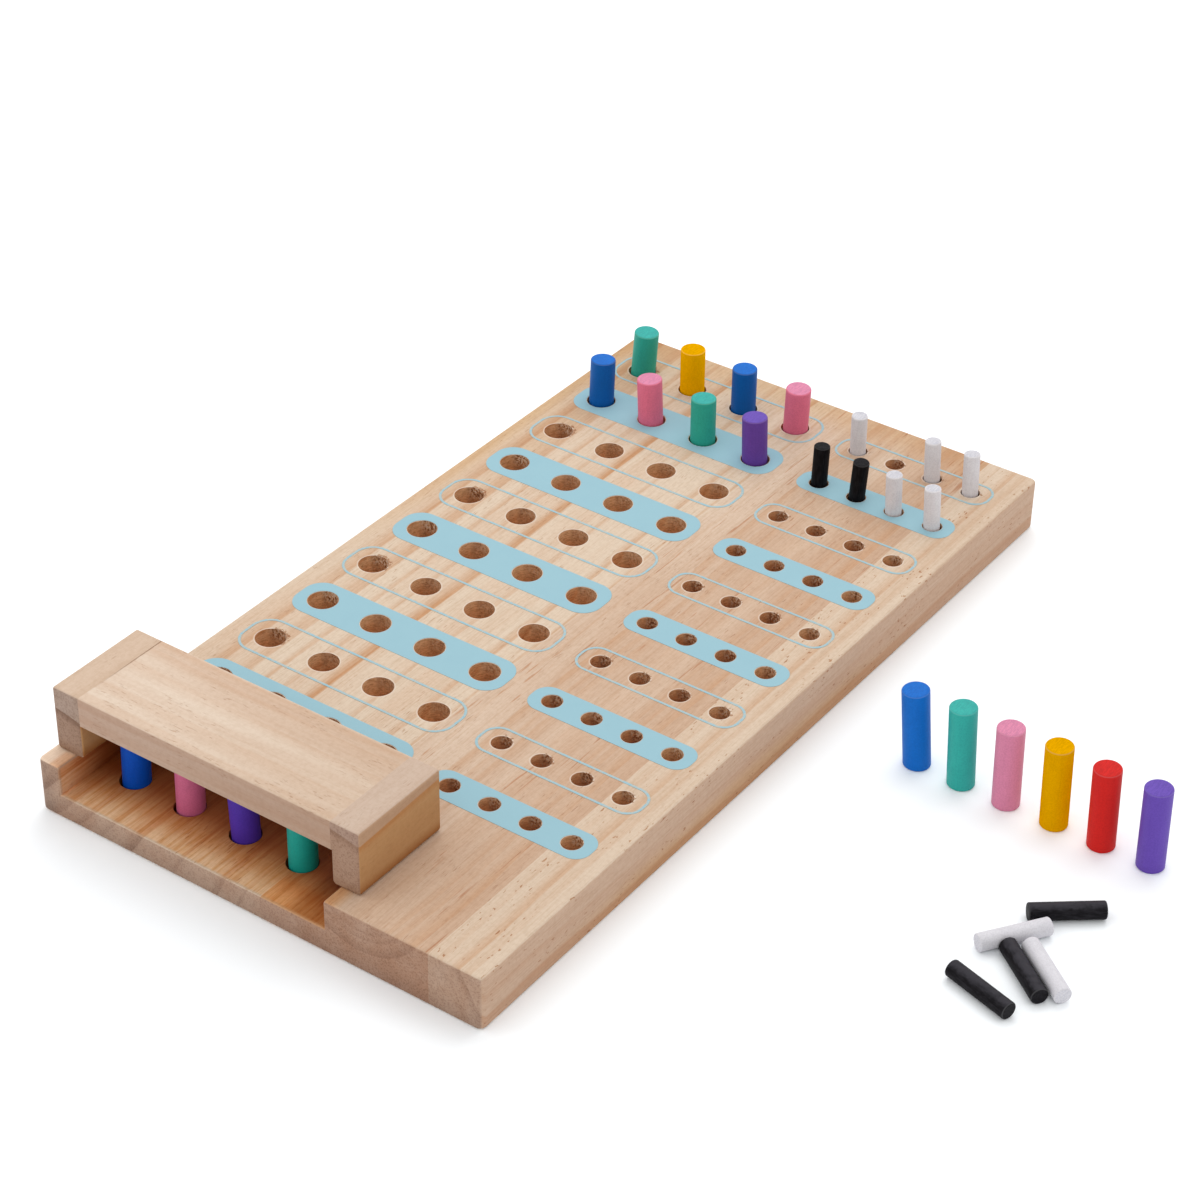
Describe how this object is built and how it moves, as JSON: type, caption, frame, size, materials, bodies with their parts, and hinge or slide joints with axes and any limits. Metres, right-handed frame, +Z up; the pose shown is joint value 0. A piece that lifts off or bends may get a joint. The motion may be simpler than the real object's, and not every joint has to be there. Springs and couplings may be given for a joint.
{
  "type": "wooden code-breaking peg game",
  "caption": "Wooden board with rows of peg holes, painted bands, a lift-off hood over a hidden code, and coloured pegs in play and spare.",
  "frame": {"origin": "centre of the board's underside, on the table", "axes": "+Z up; +Y along the board, from the code end to row 1; +X across the board, from the guess holes to the key holes"},
  "size_m": [0.2773, 0.3, 0.0394],
  "materials": {
    "pine": "sanded, unvarnished pine with wide growth rings along the board",
    "pine_flecked": "sanded, unvarnished pine with fine brown resin flecks",
    "hood_pine": "sanded pine, grain along the hood",
    "hood_block_pine": "sanded pine, end grain to the front",
    "band_paint": "matt light blue screen-printed paint",
    "peg_blue": "satin blue paint on a wooden dowel",
    "peg_green": "satin green paint on a wooden dowel",
    "peg_pink": "satin pink paint on a wooden dowel",
    "peg_purple": "satin purple paint on a wooden dowel",
    "peg_yellow": "satin yellow paint on a wooden dowel",
    "peg_red": "satin red paint on a wooden dowel",
    "peg_white": "satin white paint on a wooden dowel",
    "peg_black": "satin black paint on a wooden dowel"
  },
  "bodies": {
    "board": {"board_left_stave": "pine", "board_middle_stave": "pine", "board_right_stave": "pine_flecked", "guess_band_outlines": "band_paint", "guess_bands_filled": "band_paint", "key_band_outlines": "band_paint", "key_bands_filled": "band_paint"},
    "hood": {"hood_top": "hood_pine", "hood_left_block": "hood_block_pine", "hood_right_block": "hood_block_pine"},
    "guess_peg_r1_c1_green": {"guess_peg_r1_c1_green": "peg_green"},
    "guess_peg_r1_c2_yellow": {"guess_peg_r1_c2_yellow": "peg_yellow"},
    "guess_peg_r1_c3_blue": {"guess_peg_r1_c3_blue": "peg_blue"},
    "guess_peg_r1_c4_pink": {"guess_peg_r1_c4_pink": "peg_pink"},
    "guess_peg_r2_c1_blue": {"guess_peg_r2_c1_blue": "peg_blue"},
    "guess_peg_r2_c2_pink": {"guess_peg_r2_c2_pink": "peg_pink"},
    "guess_peg_r2_c3_green": {"guess_peg_r2_c3_green": "peg_green"},
    "guess_peg_r2_c4_purple": {"guess_peg_r2_c4_purple": "peg_purple"},
    "key_peg_r1_c1_white": {"key_peg_r1_c1_white": "peg_white"},
    "key_peg_r1_c3_white": {"key_peg_r1_c3_white": "peg_white"},
    "key_peg_r1_c4_white": {"key_peg_r1_c4_white": "peg_white"},
    "key_peg_r2_c1_black": {"key_peg_r2_c1_black": "peg_black"},
    "key_peg_r2_c2_black": {"key_peg_r2_c2_black": "peg_black"},
    "key_peg_r2_c3_white": {"key_peg_r2_c3_white": "peg_white"},
    "key_peg_r2_c4_white": {"key_peg_r2_c4_white": "peg_white"},
    "code_peg_1_blue": {"code_peg_1_blue": "peg_blue"},
    "code_peg_2_pink": {"code_peg_2_pink": "peg_pink"},
    "code_peg_3_purple": {"code_peg_3_purple": "peg_purple"},
    "code_peg_4_green": {"code_peg_4_green": "peg_green"},
    "spare_guess_peg_blue": {"spare_guess_peg_blue": "peg_blue"},
    "spare_guess_peg_green": {"spare_guess_peg_green": "peg_green"},
    "spare_guess_peg_pink": {"spare_guess_peg_pink": "peg_pink"},
    "spare_guess_peg_yellow": {"spare_guess_peg_yellow": "peg_yellow"},
    "spare_guess_peg_red": {"spare_guess_peg_red": "peg_red"},
    "spare_guess_peg_purple": {"spare_guess_peg_purple": "peg_purple"},
    "spare_key_peg_black_1": {"spare_key_peg_black_1": "peg_black"},
    "spare_key_peg_white_1": {"spare_key_peg_white_1": "peg_white"},
    "spare_key_peg_black_2": {"spare_key_peg_black_2": "peg_black"},
    "spare_key_peg_white_2": {"spare_key_peg_white_2": "peg_white"},
    "spare_key_peg_black_3": {"spare_key_peg_black_3": "peg_black"}
  },
  "joints": [
    {"name": "hood_lift", "type": "slide", "parent": "board", "child": "hood", "axis": [0, 0, 1], "range_m": [0, 0.045]},
    {"name": "guess_peg_r1_c1_green_lift", "type": "slide", "parent": "board", "child": "guess_peg_r1_c1_green", "axis": [0.0693, -0.0046, 0.9976], "range_m": [0, 0.02]},
    {"name": "guess_peg_r1_c2_yellow_lift", "type": "slide", "parent": "board", "child": "guess_peg_r1_c2_yellow", "axis": [-0.0139, 0.0046, 0.9999], "range_m": [0, 0.02]},
    {"name": "guess_peg_r1_c3_blue_lift", "type": "slide", "parent": "board", "child": "guess_peg_r1_c3_blue", "axis": [0, -0.0046, 1], "range_m": [0, 0.02]},
    {"name": "guess_peg_r1_c4_pink_lift", "type": "slide", "parent": "board", "child": "guess_peg_r1_c4_pink", "axis": [0.0416, -0.0277, 0.9987], "range_m": [0, 0.02]},
    {"name": "guess_peg_r2_c1_blue_lift", "type": "slide", "parent": "board", "child": "guess_peg_r2_c1_blue", "axis": [0, 0.037, 0.9993], "range_m": [0, 0.02]},
    {"name": "guess_peg_r2_c2_pink_lift", "type": "slide", "parent": "board", "child": "guess_peg_r2_c2_pink", "axis": [-0.0416, -0.0231, 0.9989], "range_m": [0, 0.02]},
    {"name": "guess_peg_r2_c3_green_lift", "type": "slide", "parent": "board", "child": "guess_peg_r2_c3_green", "axis": [-0.0185, 0.0093, 0.9998], "range_m": [0, 0.02]},
    {"name": "guess_peg_r2_c4_purple_lift", "type": "slide", "parent": "board", "child": "guess_peg_r2_c4_purple", "axis": [-0.0462, 0.0046, 0.9989], "range_m": [0, 0.02]},
    {"name": "key_peg_r1_c1_white_lift", "type": "slide", "parent": "board", "child": "key_peg_r1_c1_white", "axis": [0.0056, -0.0389, 0.9992], "range_m": [0, 0.015]},
    {"name": "key_peg_r1_c3_white_lift", "type": "slide", "parent": "board", "child": "key_peg_r1_c3_white", "axis": [-0.0499, 0.0055, 0.9987], "range_m": [0, 0.015]},
    {"name": "key_peg_r1_c4_white_lift", "type": "slide", "parent": "board", "child": "key_peg_r1_c4_white", "axis": [-0.0554, 0.0443, 0.9975], "range_m": [0, 0.015]},
    {"name": "key_peg_r2_c1_black_lift", "type": "slide", "parent": "board", "child": "key_peg_r2_c1_black", "axis": [0.0056, 0.0333, 0.9994], "range_m": [0, 0.015]},
    {"name": "key_peg_r2_c2_black_lift", "type": "slide", "parent": "board", "child": "key_peg_r2_c2_black", "axis": [0.072, -0.0222, 0.9972], "range_m": [0, 0.015]},
    {"name": "key_peg_r2_c3_white_lift", "type": "slide", "parent": "board", "child": "key_peg_r2_c3_white", "axis": [-0.0389, -0.0167, 0.9991], "range_m": [0, 0.015]},
    {"name": "key_peg_r2_c4_white_lift", "type": "slide", "parent": "board", "child": "key_peg_r2_c4_white", "axis": [-0.0499, 0, 0.9988], "range_m": [0, 0.015]},
    {"name": "code_peg_1_blue_lift", "type": "slide", "parent": "board", "child": "code_peg_1_blue", "axis": [0.0249, 0.0166, 0.9996], "range_m": [0, 0.0006]},
    {"name": "code_peg_2_pink_lift", "type": "slide", "parent": "board", "child": "code_peg_2_pink", "axis": [0.0124, 0.0083, 0.9999], "range_m": [0, 0.0006]},
    {"name": "code_peg_3_purple_lift", "type": "slide", "parent": "board", "child": "code_peg_3_purple", "axis": [-0.0249, -0.0166, 0.9996], "range_m": [0, 0.0006]},
    {"name": "code_peg_4_green_lift", "type": "slide", "parent": "board", "child": "code_peg_4_green", "axis": [0.0041, 0, 1], "range_m": [0, 0.0006]},
    {"name": "spare_guess_peg_blue_lift", "type": "slide", "parent": "board", "child": "spare_guess_peg_blue", "axis": [0, 0, 1], "range_m": [0, 0.03]},
    {"name": "spare_guess_peg_green_lift", "type": "slide", "parent": "board", "child": "spare_guess_peg_green", "axis": [0, 0, 1], "range_m": [0, 0.03]},
    {"name": "spare_guess_peg_pink_lift", "type": "slide", "parent": "board", "child": "spare_guess_peg_pink", "axis": [0, 0, 1], "range_m": [0, 0.03]},
    {"name": "spare_guess_peg_yellow_lift", "type": "slide", "parent": "board", "child": "spare_guess_peg_yellow", "axis": [0, 0, 1], "range_m": [0, 0.03]},
    {"name": "spare_guess_peg_red_lift", "type": "slide", "parent": "board", "child": "spare_guess_peg_red", "axis": [0, 0, 1], "range_m": [0, 0.03]},
    {"name": "spare_guess_peg_purple_lift", "type": "slide", "parent": "board", "child": "spare_guess_peg_purple", "axis": [0, 0, 1], "range_m": [0, 0.03]},
    {"name": "spare_key_peg_black_1_lift", "type": "slide", "parent": "board", "child": "spare_key_peg_black_1", "axis": [0, 0, 1], "range_m": [0, 0.03]},
    {"name": "spare_key_peg_white_1_lift", "type": "slide", "parent": "board", "child": "spare_key_peg_white_1", "axis": [0, 0, 1], "range_m": [0, 0.03]},
    {"name": "spare_key_peg_black_2_lift", "type": "slide", "parent": "board", "child": "spare_key_peg_black_2", "axis": [0, 0, 1], "range_m": [0, 0.03]},
    {"name": "spare_key_peg_white_2_lift", "type": "slide", "parent": "board", "child": "spare_key_peg_white_2", "axis": [0, 0, 1], "range_m": [0, 0.03]},
    {"name": "spare_key_peg_black_3_lift", "type": "slide", "parent": "board", "child": "spare_key_peg_black_3", "axis": [0, 0, 1], "range_m": [0, 0.03]}
  ]
}
